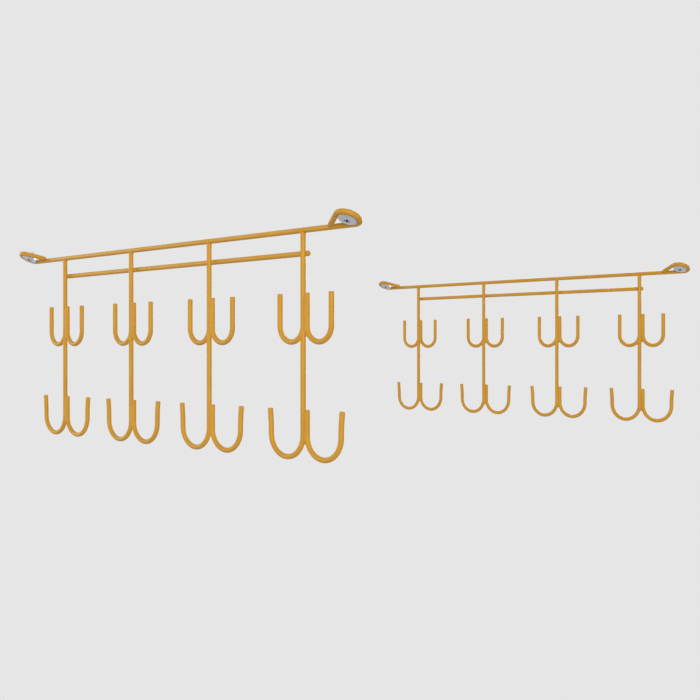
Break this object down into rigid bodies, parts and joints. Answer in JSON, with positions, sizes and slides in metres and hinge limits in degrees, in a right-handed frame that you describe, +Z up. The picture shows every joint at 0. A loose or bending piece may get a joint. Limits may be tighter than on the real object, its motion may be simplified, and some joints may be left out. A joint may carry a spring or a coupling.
{
  "type": "rod rack",
  "caption": "Ceiling rack of welded wire whose open J and U hooks cradle fishing rods in tiers, hung from screws through teardrop eyes.",
  "frame": {"origin": "midway between the front rack's two screws, in the plane of the ceiling that the eyes touch", "axes": "+X along the rails, +Y from the front rack to the rear rack along the stored rods, +Z up"},
  "size_m": [0.657, 0.8347, 0.2973],
  "materials": {
    "coat": "satin golden yellow powder coat on steel wire",
    "zinc": "bright zinc plating with a cool tint"
  },
  "bodies": {
    "root": {"front_top_rail": "coat", "front_brace_rail": "coat", "front_upright_1": "coat", "front_upright_2": "coat", "front_upright_3": "coat", "front_upright_4": "coat", "front_lower_hook_1": "coat", "front_lower_hook_2": "coat", "front_lower_hook_3": "coat", "front_lower_hook_4": "coat", "front_upper_left_hook_1": "coat", "front_upper_left_hook_2": "coat", "front_upper_left_hook_3": "coat", "front_upper_left_hook_4": "coat", "front_upper_right_hook_1": "coat", "front_upper_right_hook_2": "coat", "front_upper_right_hook_3": "coat", "front_upper_right_hook_4": "coat", "front_cup_washers": "zinc", "front_screws": "zinc", "rear_top_rail": "coat", "rear_brace_rail": "coat", "rear_upright_1": "coat", "rear_upright_2": "coat", "rear_upright_3": "coat", "rear_upright_4": "coat", "rear_lower_hook_1": "coat", "rear_lower_hook_2": "coat", "rear_lower_hook_3": "coat", "rear_lower_hook_4": "coat", "rear_upper_left_hook_1": "coat", "rear_upper_left_hook_2": "coat", "rear_upper_left_hook_3": "coat", "rear_upper_left_hook_4": "coat", "rear_upper_right_hook_1": "coat", "rear_upper_right_hook_2": "coat", "rear_upper_right_hook_3": "coat", "rear_upper_right_hook_4": "coat", "rear_cup_washers": "zinc", "rear_screws": "zinc"}
  },
  "joints": []
}
